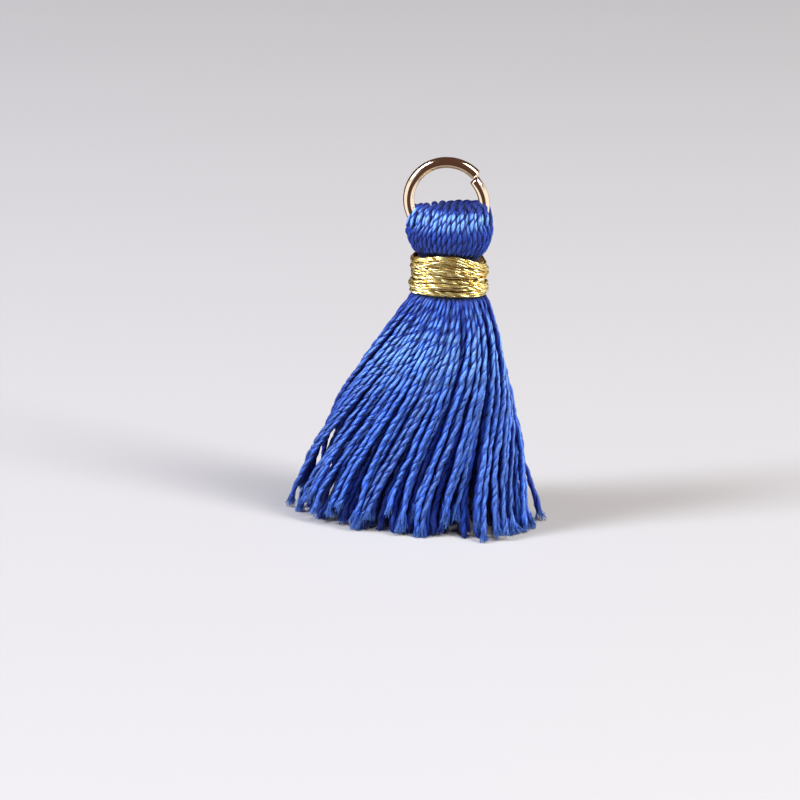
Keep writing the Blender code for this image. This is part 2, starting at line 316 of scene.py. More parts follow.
def tube_mesh(name, grids, lengths, material, painted_light_openness=None, shade=None):
    """A mesh of closed tubes from points by tube, row and column, with a flat cap at both ends.

    Its UV map holds the length along and the way round each tube, in millimetres.
    """
    tubes, rows, columns, _ = grids.shape
    tube = np.arange(tubes)[:, None, None] * rows * columns
    row = np.arange(rows - 1)[None, :, None] * columns
    column = np.arange(columns)[None, None, :]
    after = (column + 1) % columns
    quads = np.stack([tube + row + column, tube + row + after,
                      tube + row + columns + after, tube + row + columns + column], axis=-1)
    round_it = np.arange(columns)
    first_caps = tube[:, 0] + round_it[::-1]
    last_caps = tube[:, 0] + (rows - 1) * columns + round_it
    corners = np.concatenate([quads.ravel(), first_caps.ravel(), last_caps.ravel()]).astype(np.int32)
    quad_count = quads.size // 4
    starts = np.concatenate([np.arange(quad_count) * 4,
                             quad_count * 4 + np.arange(2 * tubes) * columns]).astype(np.int32)
    mesh = bpy.data.meshes.new(name)
    mesh.vertices.add(tubes * rows * columns)
    mesh.vertices.foreach_set("co", (grids * MM).astype(np.float32).ravel())
    mesh.loops.add(len(corners))
    mesh.loops.foreach_set("vertex_index", corners)
    mesh.polygons.add(len(starts))
    mesh.polygons.foreach_set("loop_start", starts)
    mesh.update(calc_edges=True)
    mesh.polygons.foreach_set("use_smooth", np.arange(len(starts)) < quad_count)

    girth = np.linalg.norm(np.diff(grids[:, 0], axis=1), axis=-1).sum(axis=1).mean() * columns / (columns - 1)
    around = np.stack([column, column + 1, column + 1, column], axis=-1) / columns * girth
    along = np.stack([lengths[:, :-1], lengths[:, :-1], lengths[:, 1:], lengths[:, 1:]], axis=-1)
    quad_uv = np.stack(np.broadcast_arrays(along[:, :, None, :], around), axis=-1).reshape(-1, 2)
    cap_uv = np.zeros((2 * tubes * columns, 2))
    layer = mesh.uv_layers.new(name="along_and_around")
    layer.data.foreach_set("uv", np.concatenate([quad_uv, cap_uv]).astype(np.float32).ravel())
    # Each strand's own random tone, and how open each point lies, from which the materials paint shade and
    # highlight
    for label, values in (("strand_shade", shade), ("painted_light_openness", painted_light_openness)):
        if values is not None:
            attribute = mesh.attributes.new(label, "FLOAT", "POINT")
            values = np.broadcast_to(values, grids.shape[:3])
            attribute.data.foreach_set("value", values.astype(np.float32).ravel())
    mesh.materials.append(material)
    piece = bpy.data.objects.new(name, mesh)
    bpy.context.scene.collection.objects.link(piece)
    return piece


def settle(targets, spacing, half_sizes, middle_x, furthest, rounds=70):
    """Strands' places at each level, moved apart until they lie side by side instead of in each other.

    Each round moves both of any two strands at a level 0.45 of what they lack of the spacing away from
    each other, draws all a little back to their targets, evens the moves from level to level, and
    keeps each strand within its furthest share of the oval.
    """
    places = targets.copy()
    for _ in range(rounds):
        apart = places[:, :, None] - places[:, None]
        distance = np.sqrt((apart**2).sum(-1)) + 1e-9
        lack = np.clip(spacing[:, None, None] - distance, 0, None)
        lack[:, np.arange(targets.shape[1]), np.arange(targets.shape[1])] = 0
        places = places + 0.45 * (apart / distance[..., None] * lack[..., None]).sum(axis=2)
        moved = (places - targets) * 0.985
        moved[1:-1] = 0.6 * moved[1:-1] + 0.2 * (moved[:-2] + moved[2:])
        places = targets + moved
        from_middle = places - np.stack([middle_x, np.zeros_like(middle_x)], axis=-1)[:, None]
        share = np.sqrt(((from_middle / half_sizes[:, None]) ** 2).sum(-1, keepdims=True))
        places = places - from_middle * (1 - 1 / np.maximum(share / furthest[..., None], 1))
    return places


def skirt_courses():
    """The strands' paths by level, from under the binding to the floor, and where each one ends.

    A strand keeps its place on its ring while the oval spreads, is combed round and swings to the
    left, drifts a little, gathers with its neighbours into bunches, and waves by two sines.
    """
    random = np.random.RandomState(11)
    reach, phase, end_z = [], [], []
    for share, count, least, most in SKIRT_RINGS:
        steps = np.arange(count) + random.uniform(-0.28, 0.28, count)
        phase.append(steps * TURN / count)
        reach.append(share * (1 - 0.13 * random.uniform(0, 1, count) ** 2))
        end_z.append(np.clip(random.uniform(least, most, count), 0, None) + LEAST_END_Z)
    reach, phase, end_z = (np.concatenate(column) for column in (reach, phase, end_z))
    strand_count = len(reach)
    z = np.linspace(COURSE_TOP_Z, 0, COURSE_LEVELS)
    fall = fall_at(z)[:, None]
    drift = random.normal(0, 0.06, strand_count)
    turn = phase + drift * fall
    for waves, size, start in BUNCHES:
        turn = turn + size * np.clip(fall, 0, 1) ** 1.2 * np.sin(waves * phase + start)
    turn = turn - SWIRL * smooth_step(fall)
    squeezed = IN_BINDING * smooth_step((z - 21.7) / 0.6)[:, None]
    half_width, half_depth = skirt_half_sizes(fall) - squeezed
    # Every other strand starts a little deeper, where they are crowded under the binding
    every_other = np.arange(strand_count) % 2
    reach = reach - 0.09 * every_other * (1 - smooth_step((fall - 0.1) / 0.35))
    at_corner = nearness(turn, HEM_CORNER, 0.3) * smooth_step((fall - 0.45) / 0.55)
    furthest = 1 + HEM_CORNER_REACH * at_corner
    reach = reach * furthest
    end_z = end_z - 0.85 * (end_z - LEAST_END_Z) * nearness(turn[-1], HEM_LOW, 0.6)
    x, y = oval(half_width * reach, half_depth * reach, turn, skirt_middle(fall))
    # One slow wave and one quick one, of so many millimetres aside and between these lengths
    for size, longest, shortest in ((0.2, 14, 9), (0.06, 6, 4)):
        waves = WAIST_Z / random.uniform(shortest, longest, (2, strand_count))
        start = random.uniform(0, TURN, (2, strand_count))
        sway = size * random.uniform(0.3, 1, (2, strand_count)) * np.clip(fall, 0, 1)[:, None]
        x = x + sway[:, 0] * np.sin(TURN * waves[0] * fall + start[0])
        y = y + sway[:, 1] * np.sin(TURN * waves[1] * fall + start[1])
    spacing = WAIST_SPACING + SPACING_GAIN * smooth_step(fall[:, 0] / 0.3)
    half_sizes = np.concatenate([half_width, half_depth], axis=1) + 0.05
    places = settle(np.stack([x, y], axis=-1), spacing, half_sizes, skirt_middle(fall)[:, 0], furthest)
    levels = np.broadcast_to(z[:, None, None], (*places.shape[:2], 1))
    return np.concatenate([places, levels], axis=-1).swapaxes(0, 1), end_z


def skirt_strands(knots, end_z, fullness, hidden, sides, rows, seed):
    """The two-ply strands of a part of the skirt, thinner where the binding squeezes them and a little opened
    at their cut ends. What is hidden is painted in shade, the more so near the floor.

    Each strand stops at its own height, by a share of its course, and has its own thickness, twist
    and start. Towards its cut end the twist is undone with the square of the length.
    """
    random = np.random.RandomState(seed)
    count = len(knots)
    last_place = (COURSE_TOP_Z - end_z) / COURSE_TOP_Z * (COURSE_LEVELS - 1)
    middles = course(knots, last_place[:, None] * np.linspace(0, 1, rows))
    length = lengths_along(middles)
    to_end = length[:, -1:] - length
    # It grows to its full thickness over the first 5 mm, and begins to stray over the first 4
    squeezed = 0.82 + 0.22 * smooth_step(length / 5)
    loose = smooth_step(length / 4)
    aside = wander(random, 2 * count, np.tile(length, (2, 1)), 3.6, 1.5).reshape(2, count, rows)
    middles[..., :2] += STRAND_STRAY * (loose * aside).transpose(1, 2, 0)
    # It opens over its last 1.2 to 3.6 mm
    opened = smooth_step(1 - to_end / random.uniform(1.2, 3.6, (count, 1)))
    opened = opened * random.uniform(0.35, 1, (count, 1))
    build = random.uniform(*STRAND_BUILDS, (count, 1)) * squeezed
    build = build * (1 + BUILD_WAVE * wander(random, count, length, 8, 2.5)) * fullness
    twist = TWIST * random.uniform(0.88, 1.15, (count, 1))
    untwisted = 0.8 * TURN / twist * np.clip(UNTWISTED - to_end, 0, None) ** 2 / (2 * UNTWISTED)
    at_cut = 1 - 0.5 * smooth_step(1 - to_end / 0.6)
    fall = fall_at(middles[..., 2])
    from_middle = middles[..., :2] - np.stack([skirt_middle(fall), np.zeros_like(fall)], axis=-1)
    # Outward is the oval's own normal: each coordinate over the square of its half size
    outward = np.zeros_like(middles)
    outward[..., :2] = unit(from_middle / np.moveaxis(skirt_half_sizes(fall), 0, -1) ** 2)
    # Painted shade: near the waist the strands crowd, so their sides are painted darker
    buried = 0.42 * (1 - smooth_step(length / 10))[:, None, :, None]
    start_turn = random.uniform(0, TURN, (count, 1))
    start_turn = start_turn + 1.3 * wander(random, count, length, 7, 2.5) - untwisted
    grids, lengths, painted_light_openness = two_ply(
        middles, np.array([0, 1.0, 0]), outward, buried, twist, start_turn,
        PLY_APART * build * (1 + 0.7 * opened), PLY_THICK * build * (1 + 0.1 * opened) * at_cut,
        PLY_WIDE * build * (1 + 0.35 * opened) * at_cut, sides)
    grids[..., 2] = np.maximum(grids[..., 2], 0.02)
    z = grids[..., 2]
    # Painted light and shade: crowns lighter and grooves darker towards the waist, painted shade right under
    # the binding, and painted shade where it is hidden, deeper near the floor
    painted_light_openness = painted_light_openness + 0.45 * smooth_step((z - 12) / 7) * (2 * painted_light_openness - 0.8)
    painted_light_openness = painted_light_openness - 1.4 * smooth_step((z - WAIST_Z) / 0.3)
    painted_light_openness = painted_light_openness - hidden * (1 + smooth_step(1 - z / 3))
    return grids, lengths, painted_light_openness, np.repeat(random.uniform(0, 1, count), 2)[:, None, None]


def loose_fibres(ends, before, hidden, seed):
    """The brush of fibres at every ply's cut end, each a three-sided tube that thins a little.

    A fibre starts at its own place in the ply, a fibre's length above the cut, and leans out from the
    ply's middle with the square of its share. Most are cut nearly level, and one in ten is longer.
    """
    random = np.random.RandomState(seed)
    along = unit(ends - before)
    count, rows = len(ends) * FIBRES_IN_PLY, 4
    start, along = (np.repeat(values, FIBRES_IN_PLY, axis=0)[:, None] for values in (ends, along))
    share = np.linspace(0, 1, rows)[None, :, None]
    aside = random.normal(0, 1, (count, 1, 3))
    aside = unit(aside - (aside * along).sum(axis=-1, keepdims=True) * along)
    from_middle = FIBRE_SPREAD * np.sqrt(random.uniform(0, 1, (count, 1, 1)))
    flare = random.uniform(0.6, 1.7, (len(ends), 1, 1)).repeat(FIBRES_IN_PLY, axis=0)
    past_end = random.uniform(0.0, 0.35, (count, 1, 1))
    past_end = past_end + 0.4 * (random.uniform(0, 1, (count, 1, 1)) > 0.9)
    middles = start + along * (past_end - FIBRE_LENGTH * (1 - share))
    middles = middles + aside * from_middle * (1 + flare * share**2)
    middles = middles + random.normal(0, 0.05, (count, 1, 3)) * share**2
    middles[..., 2] = np.maximum(middles[..., 2], 0.06)
    thick = FIBRE_RADIUS * (1 - 0.35 * share) * random.uniform(0.8, 1.2, (count, 1, 1))
    grids = round_tubes(middles, thick, 3)
    # Painted light: fibres turn lighter towards their tips, a painted highlight, and those of hidden strands
    # get painted shade
    painted_light_openness = 0.8 + 0.25 * share - hidden.repeat(FIBRES_IN_PLY)[:, None, None]
    return grids, lengths_along(middles), painted_light_openness, random.uniform(0, 1, count)[:, None, None]


def head_surface(turn, knots):
    """The head's outline carried round an oval, from the front foot over the fold to the back foot.

    A loop keeps its share of the width at every height, so the loops hang side by side. Towards the
    fold the ovals' ends are left free for the ring's wire.
    """
    outline = np.array(HEAD_OUTLINE)
    outline = np.concatenate([outline, outline[-2::-1]])
    z, half_width, half_depth = outline.T[:, None, :]
    to_back = np.where(np.arange(len(outline)) < len(HEAD_OUTLINE), 1, -1)
    free_end = 1 - 0.15 * smooth_step((z - 27.6) / 1.4)
    middle_x = NECK_X + (RING_X - NECK_X) * smooth_step((z - 30) / 0.6)
    turn = TURN * 3 / 4 + (turn[:, None] - TURN * 3 / 4) * free_end
    x, y = oval(HEAD_WIDEST[0], HEAD_WIDEST[1], turn, 0)
    x = middle_x + x * half_width / HEAD_WIDEST[0]
    y = y * half_depth / HEAD_WIDEST[1]
    height = np.clip((z - HEAD_FOOT_Z) / (HEAD_TOP_Z - HEAD_FOOT_Z), 0, 1)
    to_side = (x - NECK_X) / 3.9
    level = z + HEAD_RISE * height**2 * to_side - HEAD_DROOP * (1 - height) * to_side**2 * (z > 25.8)
    return course(np.stack([x, y * to_back, level], axis=-1), np.broadcast_to(knots, (len(turn), len(knots))))


def head_loops():
    """Two-ply loops side by side on the head's surface, every other one let in a little where they
    crowd towards the fold, and each wandering across its neighbours."""
    random = np.random.RandomState(23)
    rows = 110
    place = np.linspace(0, 2 * len(HEAD_OUTLINE) - 2, rows)
    turn = TURN / 2 + TURN / 2 * (np.arange(HEAD_LOOPS) + 0.5) / HEAD_LOOPS
    surface = head_surface(turn, place)
    upward = unit(np.gradient(surface, axis=1))
    across = unit(np.gradient(surface, axis=0))
    outward = np.cross(across, upward)
    up_the_head = 1 - np.abs(np.linspace(-1, 1, rows))
    crowded = smooth_step((up_the_head - 0.35) / 0.4)
    every_other = (np.arange(HEAD_LOOPS) % 2)[:, None]
    length = lengths_along(surface)
    uneven = 0.08 * wander(random, HEAD_LOOPS, length, 7, 3)
    let_in = LOOP_IN + crowded * (CROWDED_IN * every_other + uneven)
    stray = 0.05 * wander(random, HEAD_LOOPS, length, 6, 2.5) * (0.4 + crowded)
    middles = surface - outward * let_in[..., None] + across * stray[..., None]
    build = random.uniform(0.98, 1.08, (HEAD_LOOPS, 1))
    twist = HEAD_TWIST * random.uniform(0.9, 1.12, (HEAD_LOOPS, 1))
    grids, lengths, painted_light_openness = two_ply(
        middles, np.array([1.0, 0, 0]), outward, 0.2, twist, random.uniform(0, TURN, (HEAD_LOOPS, 1)),
        *(size * build for size in HEAD_PLY), 8)
    x, _, z = np.moveaxis(grids, -1, 0)
    above_binding = z - BINDING_TOP_Z + BINDING_TOP_DIP * np.clip((x - NECK_X) / 3.3, -1, 1) ** 2
    # Painted light and shade, stronger than on the skirt: lighter crowns and darker grooves, and painted
    # shade over the fold, under the bulge and right above the binding
    painted_light_openness = painted_light_openness + 0.65 * (2 * painted_light_openness - 1.1)
    painted_light_openness = painted_light_openness * (1 - 0.8 * smooth_step((z - 29.9) / 0.5))
    painted_light_openness = painted_light_openness * (1 - 0.6 * smooth_step((29.2 - z) / 1.4))
    painted_light_openness = painted_light_openness - 0.6 * smooth_step((z - 30.0) / 0.4)
    painted_light_openness = painted_light_openness - 1.2 * smooth_step((0.16 - above_binding) / 0.24)
    return grids, lengths, painted_light_openness, np.repeat(random.uniform(0, 1, HEAD_LOOPS), 2)[:, None, None]


def head_filling():
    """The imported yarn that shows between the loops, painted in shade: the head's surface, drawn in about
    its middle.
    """
    rows, columns = 24, 48
    place = np.linspace(0, len(HEAD_OUTLINE) - 1.15, rows)
    front = head_surface(TURN / 2 + TURN / 2 * (np.arange(columns // 2) + 0.5) / (columns // 2), place)
    ring = np.concatenate([front, front[::-1] * (1, -1, 1)]).swapaxes(0, 1)
    middle = np.array([NECK_X, 0, 27.5])
    size = np.abs(ring - middle).max(axis=(0, 1))
    ring = middle + (ring - middle) * (1 - HEAD_FILLING_IN / size)
    return ring[None], lengths_along(ring.mean(axis=1)[None]), np.array(PACKED_PAINTED_SHADE)


def binding_course(angle, level, height_share, out):
    """Points of the binding's oval at an angle: its half sizes go from the foot's to the top's with
    the height, and it dips at its sides, the more so the higher it is."""
    half_width, half_depth = (
        sizes[0] + (sizes[1] - sizes[0]) * height_share - THREAD_HALF + out
        for sizes in (BINDING_HALF_WIDTHS, BINDING_HALF_DEPTHS))
    x, y = oval(half_width, half_depth, angle, NECK_X)
    dip = BINDING_FOOT_DIP + (BINDING_TOP_DIP - BINDING_FOOT_DIP) * height_share
    return np.stack([x, y, level - dip * np.cos(angle) ** 2], axis=-1)


def share_of_height(level):
    """How far up the binding a height lies, from 0 at its foot to 1 at its top."""
    return np.clip((level - BINDING_FOOT_Z) / (BINDING_TOP_Z - BINDING_FOOT_Z), 0, 1)


def binding_turns():
    """One thread wound up the neck: a helix that wanders, and gathers to two knuckles at the right."""
    random = np.random.RandomState(31)
    rows = 2100
    angle = np.linspace(0, TURN * BINDING_TURNS, rows)[None] + math.radians(100)
    rise = BINDING_TOP_Z - BINDING_FOOT_Z - 2 * THREAD_HALF
    level = BINDING_FOOT_Z + THREAD_HALF + rise * np.linspace(0, 1, rows)[None]
    level = level + TURN_WANDER * wander(random, 1, angle, 5, 2)
    knuckle = np.array(KNUCKLES)[np.abs(level[..., None] - KNUCKLES).argmin(axis=-1)]
    at_right = np.clip(np.cos(angle), 0, 1) ** 6
    level = level + (knuckle - level) * KNUCKLE_PULL * at_right
    level = np.clip(level, BINDING_FOOT_Z + THREAD_HALF, BINDING_TOP_Z - THREAD_HALF)
    out = 0.05 * wander(random, 1, angle, 4, 1.5) - 0.03
    return binding_course(angle, level, share_of_height(level), out)


def crossing_turns():
    """Turns that cross the others aslant: heights at six places round the neck, joined smoothly."""
    rows = 200
    heights = np.array(CROSSING_TURNS)
    closed = np.concatenate([heights, heights[:, :1]], axis=1)
    degrees = np.linspace(0, 360, rows)
    level = np.stack([np.interp(degrees, CROSSING_ANGLES, row) for row in closed])
    kernel = np.hanning(25) / np.hanning(25).sum()
    padded = np.concatenate([level[:, -13:-1], level, level[:, 1:13]], axis=1)
    level = np.stack([np.convolve(row, kernel, mode="valid") for row in padded])
    angle = -np.radians(degrees)[None]
    return binding_course(angle, level, share_of_height(level), CROSSING_OUT)


def gold_thread(middles, start_turn, closed=False):
    """Two metallic plies, flatter than yarn is, twisted together. Round a closed turn the twist makes
    whole turns, so that the plies meet where it closes."""
    half = THREAD_HALF
    outward = unit((middles - np.array([NECK_X, 0, 0])) * np.array([1, 1, 0]))
    length = lengths_along(middles)
    uneven = 1.4 * wander(np.random.RandomState(37), len(middles), length, 9, 3)
    twist = THREAD_TWIST
    if closed:
        whole = length[:, -1:]
        twist = whole / np.round(whole / twist)
        uneven = uneven * np.sin(TURN / 2 * length / whole)
    return two_ply(middles, np.array([0, 0, 1.0]), outward, 0, twist, start_turn + uneven,
                   half * 0.5, half * 0.5, half * 0.66, 8)


def binding_filling():
    """The thread's under layer: a sleeve just inside the turns, with ridges like turns of its own, each the
    height of a sine's upper half. It is painted in shade: brown, a little lighter on its ridges."""
    angle = np.linspace(0, TURN, 49)[:-1]
    level = np.linspace(*UNDER_LAYER_HEIGHTS, 73)[:, None]
    ridge = np.abs(np.sin(TURN / 2 * level / (2 * THREAD_HALF)))
    ring = binding_course(angle, level + 0 * angle, share_of_height(level), 0.06 * ridge - 0.17)
    # Painted shade: it lies little open, so it is brown, a little lighter on its ridges
    return ring[None], lengths_along(ring.mean(axis=1)[None]), 0.05 + 0.25 * ridge


def ring_wire():
    """Round wire bent to a circle from one cut end to the other, its ends' edges worn round and one
    end a little inwards and in front of the other."""
    rows, sides = 180, 32
    half_cut = RING_CUT / RING_RADIUS / 2
    bunched_at_ends = (1 - np.cos(np.linspace(0, TURN / 2, rows))) / 2
    share = 0.35 * bunched_at_ends + 0.65 * np.linspace(0, 1, rows)
    angle = RING_CUT_ANGLE + half_cut + (TURN - 2 * half_cut) * share
    radius = RING_RADIUS - RING_END_IN * (1 - smooth_step((1 - share) / RING_END_BENT))
    across, forward = radius * np.cos(angle), RING_SPRING * (share - 0.5)
    middles = np.stack([RING_X + across * math.cos(RING_TURNED) + forward * math.sin(RING_TURNED),
                        across * math.sin(RING_TURNED) - forward * math.cos(RING_TURNED),
                        RING_Z + radius * np.sin(angle)], axis=-1)[None]
    length = lengths_along(middles)
    to_end = np.minimum(length, length[:, -1:] - length)
    worn = WIRE_RADIUS - WIRE_EDGE * np.clip(1 - to_end / WIRE_EDGE, 0, 1) ** 2
    return round_tubes(middles, worn[..., None], sides), length


def hex_colour(code):
    """An sRGB hex value as linear red, green, blue and 1."""
    srgb = np.array([int(code[i:i + 2], 16) for i in (1, 3, 5)]) / 255
    linear = np.where(srgb <= 0.04045, srgb / 12.92, ((srgb + 0.055) / 1.055) ** 2.4)
    return (*linear.tolist(), 1.0)


def add_node(tree, kind, settings=(), **inputs):
    """A node of a kind, with its settings, and its inputs, named or numbered as in i6, set to values or
    linked to sockets.

    A Map Range has i1 to i4 for the range it reads and the range it gives, and a Mix of colours i6 and
    i7 for its two colours.
    """
    node = tree.nodes.new(kind)
    for name, value in dict(settings).items():
        setattr(node, name, value)
    for name, value in inputs.items():
        by_number = name[0] == "i" and name[1:].isdigit()
        socket = node.inputs[int(name[1:]) if by_number else name.replace("_", " ")]
        if isinstance(value, bpy.types.NodeSocket):
            tree.links.new(value, socket)
        else:
            socket.default_value = value
    return node


def new_material(name):
    """A material with a name, its node tree and the shader that it starts with."""
    material = bpy.data.materials.new(name)
    material.use_nodes = True
    return material, material.node_tree, material.node_tree.nodes["Principled BSDF"]


def yarn_material():
    """Filament polyester yarn, twisted of two plies and dyed royal blue. Its straight fibres give each ply a
    soft streaked gloss. Light and shade are painted into its colour as well: a painted highlight on the
    crowns of the plies, painted shade in the grooves between plies and strands, and deeper painted shade on
    what lies hidden."""
    material, tree, shader = new_material("twisted_filament_polyester_yarn")
    place = add_node(tree, "ShaderNodeUVMap", {"uv_map": "along_and_around"})
    # A filament is 0.02 mm thick, too fine to show: bundles of them are drawn, 1 / 8 mm wide
    stretched = add_node(tree, "ShaderNodeMapping", Vector=place.outputs["UV"], Scale=(1.8, 8.0, 1.0))
    fibres = add_node(tree, "ShaderNodeTexNoise", Vector=stretched.outputs["Vector"], Scale=1.0, Detail=2.0,
                      Roughness=0.6)
    own = add_node(tree, "ShaderNodeAttribute", {"attribute_name": "strand_shade"})
    by_strand = add_node(tree, "ShaderNodeMix", {"data_type": "RGBA"}, Factor=own.outputs["Fac"],
                         i6=hex_colour(BLUE_STRANDS[0]), i7=hex_colour(BLUE_STRANDS[1]))
    painted_light_openness = add_node(tree, "ShaderNodeAttribute", {"attribute_name": "painted_light_openness"})
    # Painted shade: the deep blue in the grooves, where a ply lies least open
    groove_shade_amount = add_node(tree, "ShaderNodeMapRange", Value=painted_light_openness.outputs["Fac"],
                        i1=0.0, i2=0.85, i3=0.0, i4=1.0)
    painted_groove_shade = add_node(tree, "ShaderNodeMix", {"data_type": "RGBA"}, Factor=groove_shade_amount.outputs["Result"],
                         i6=hex_colour(BLUE_PAINTED_SHADE_IN_GROOVES), i7=by_strand.outputs[2])
    # Painted highlight: the crowns of the plies turn a paler blue
    painted_crown_highlight = add_node(tree, "ShaderNodeMapRange", Value=painted_light_openness.outputs["Fac"],
                        i1=0.82, i2=1.45, i3=0.0, i4=0.85)
    with_painted_highlight = add_node(tree, "ShaderNodeMix", {"data_type": "RGBA"}, Factor=painted_crown_highlight.outputs["Result"],
                          i6=painted_groove_shade.outputs[2], i7=hex_colour(BLUE_PAINTED_HIGHLIGHT_ON_CROWNS))
    by_fibre = add_node(tree, "ShaderNodeMapRange", Value=fibres.outputs["Fac"],
                        i1=0.33, i2=0.67, i3=0.35, i4=1.65)
    # Painted shade: what lies hidden is darker still; this is multiplied by the fibre streaks
    painted_hidden_shade = add_node(tree, "ShaderNodeMapRange", Value=painted_light_openness.outputs["Fac"],
                         i1=-1.0, i2=0.0, i3=0.05, i4=1.0)
    shade = add_node(tree, "ShaderNodeMath", {"operation": "MULTIPLY"}, i0=by_fibre.outputs["Result"],
                     i1=painted_hidden_shade.outputs["Result"])
    colour = add_node(tree, "ShaderNodeVectorMath", {"operation": "SCALE"}, i0=with_painted_highlight.outputs[2],
                      Scale=shade.outputs["Value"])
    bump = add_node(tree, "ShaderNodeBump", Strength=0.9, Distance=0.00008, Height=fibres.outputs["Fac"])
    dull = add_node(tree, "ShaderNodeMapRange", Value=painted_light_openness.outputs["Fac"],
                    i1=-0.2, i2=0.9, i3=0.9, i4=0.4)
    along = add_node(tree, "ShaderNodeTangent", {"direction_type": "UV_MAP", "uv_map": "along_and_around"})
    tree.links.new(colour.outputs["Vector"], shader.inputs["Base Color"])
    tree.links.new(bump.outputs["Normal"], shader.inputs["Normal"])
    tree.links.new(along.outputs["Tangent"], shader.inputs["Tangent"])
    tree.links.new(dull.outputs["Result"], shader.inputs["Roughness"])
    shader.inputs["IOR"].default_value = 1.65
    shader.inputs["Specular IOR Level"].default_value = 1.0
    shader.inputs["Specular Tint"].default_value = hex_colour(BLUE_GLOSS)
    shader.inputs["Anisotropic"].default_value = 0.75
    shader.inputs["Anisotropic Rotation"].default_value = 0.25
    return material


def gold_thread_material():
    """Metallised film, slit fine and twisted round a core: bright pale gold glints on crisp faces, brown
    painted shade in the grooves between its plies, and small creases that break up the shine, painted a
    darker, deeper gold as shade."""
    material, tree, shader = new_material("metallised_film_thread_gold")
    place = add_node(tree, "ShaderNodeUVMap", {"uv_map": "along_and_around"})
    # The film is slit about 0.2 mm wide, so a crease runs 1 mm along the thread and 1 / 4.5 mm across it
    stretched = add_node(tree, "ShaderNodeMapping", Vector=place.outputs["UV"], Scale=(1.0, 4.5, 1.0))
    creases = add_node(tree, "ShaderNodeTexNoise", Vector=stretched.outputs["Vector"], Scale=1.0, Detail=1.0)
    creased = add_node(tree, "ShaderNodeMapRange", Value=creases.outputs["Fac"],
                       i1=0.35, i2=0.6, i3=0.0, i4=1.0)
    # Painted shade: darker, deeper gold in the creases, pale gold beside them
    tint = add_node(tree, "ShaderNodeMix", {"data_type": "RGBA"}, Factor=creased.outputs["Result"],
                    i6=hex_colour(GOLD_FACES[0]), i7=hex_colour(GOLD_FACES[1]))
    painted_light_openness = add_node(tree, "ShaderNodeAttribute", {"attribute_name": "painted_light_openness"})
    # Painted shade: brown in the grooves between the plies
    groove_shade_amount = add_node(tree, "ShaderNodeMapRange", Value=painted_light_openness.outputs["Fac"],
                        i1=0.0, i2=0.42, i3=0.0, i4=1.0)
    colour = add_node(tree, "ShaderNodeMix", {"data_type": "RGBA"}, Factor=groove_shade_amount.outputs["Result"],
                      i6=hex_colour(GOLD_PAINTED_SHADE_IN_GROOVES), i7=tint.outputs[2])
    bump = add_node(tree, "ShaderNodeBump", Strength=0.4, Distance=0.00004, Height=creases.outputs["Fac"])
    tree.links.new(colour.outputs[2], shader.inputs["Base Color"])
    tree.links.new(bump.outputs["Normal"], shader.inputs["Normal"])
    shader.inputs["Metallic"].default_value = 0.9
    shader.inputs["Roughness"].default_value = 0.27
    return material


def wire_material():
    """Brass wire, drawn smooth and flash plated in pale gold: a mirror of the room round it, a little
    softened by fine rubbing marks."""
    material, tree, shader = new_material("plated_wire_pale_gold")
    place = add_node(tree, "ShaderNodeTexCoord")
    # Rubbing marks are hundredths of a millimetre: they are drawn as patches 1 / 0.9 mm across
    rubbed = add_node(tree, "ShaderNodeTexNoise", Vector=place.outputs["Object"], Scale=0.9 / MM, Detail=3.0)
    rough = add_node(tree, "ShaderNodeMapRange", Value=rubbed.outputs["Fac"],
                     i1=0.35, i2=0.7, i3=0.07, i4=0.15)
    tree.links.new(rough.outputs["Result"], shader.inputs["Roughness"])
    shader.inputs["Base Color"].default_value = hex_colour(PALE_GOLD)
    shader.inputs["Metallic"].default_value = 1.0
    return material


def floor_material():
    """Matt white card: pale, a little cool, with too little gloss to mirror the tassel."""
    material, _, shader = new_material("matt_white_card")
    shader.inputs["Base Color"].default_value = hex_colour(WHITE_CARD)
    shader.inputs["Roughness"].default_value = 0.7
    return material


def aim(thing, target):
    """Turns a camera or a light so that it looks at a point, with its top up."""
    thing.rotation_euler = (Vector(target) - thing.location).to_track_quat("-Z", "Y").to_euler()


def set_camera():
    """The camera stands back along its azimuth and elevation from the point in the frame's middle."""
    azimuth, elevation = CAMERA_AZIMUTH, CAMERA_ELEVATION
    right = np.array([math.cos(azimuth), math.sin(azimuth), 0])
    back = np.array([math.sin(azimuth) * math.cos(elevation), -math.cos(azimuth) * math.cos(elevation),
                     math.sin(elevation)])
    up = np.cross(back, right)
    neck = np.array([NECK_X, 0, BINDING_FOOT_Z])
    middle = neck - (right * NECK_IN_FRAME[0] + up * NECK_IN_FRAME[1]) / PIXELS_TO_MM
    data = bpy.data.cameras.new("camera")
    data.lens = CAMERA_LENS
    data.sensor_width = 36
    data.clip_start = 0.01
    camera = bpy.data.objects.new("camera", data)
    bpy.context.scene.collection.objects.link(camera)
    camera.location = Vector((middle + back * CAMERA_DISTANCE) * MM)
    aim(camera, middle * MM)
    bpy.context.scene.camera = camera


def add_window(name, azimuth, elevation, distance, power, size, colour, mirrored):
    """A rectangular soft light that looks at the tassel from an azimuth, an elevation and a distance."""
    data = bpy.data.lights.new(name, "AREA")
    data.shape = "RECTANGLE"
    data.size, data.size_y = size
    data.energy = power
    data.color = hex_colour(colour)[:3]
    light = bpy.data.objects.new(name, data)
    bpy.context.scene.collection.objects.link(light)
    azimuth, elevation = math.radians(azimuth), math.radians(elevation)
    light.location = distance * Vector((math.sin(azimuth) * math.cos(elevation),
                                        -math.cos(azimuth) * math.cos(elevation), math.sin(elevation)))
    light.visible_glossy = mirrored
    aim(light, LIT_POINT)


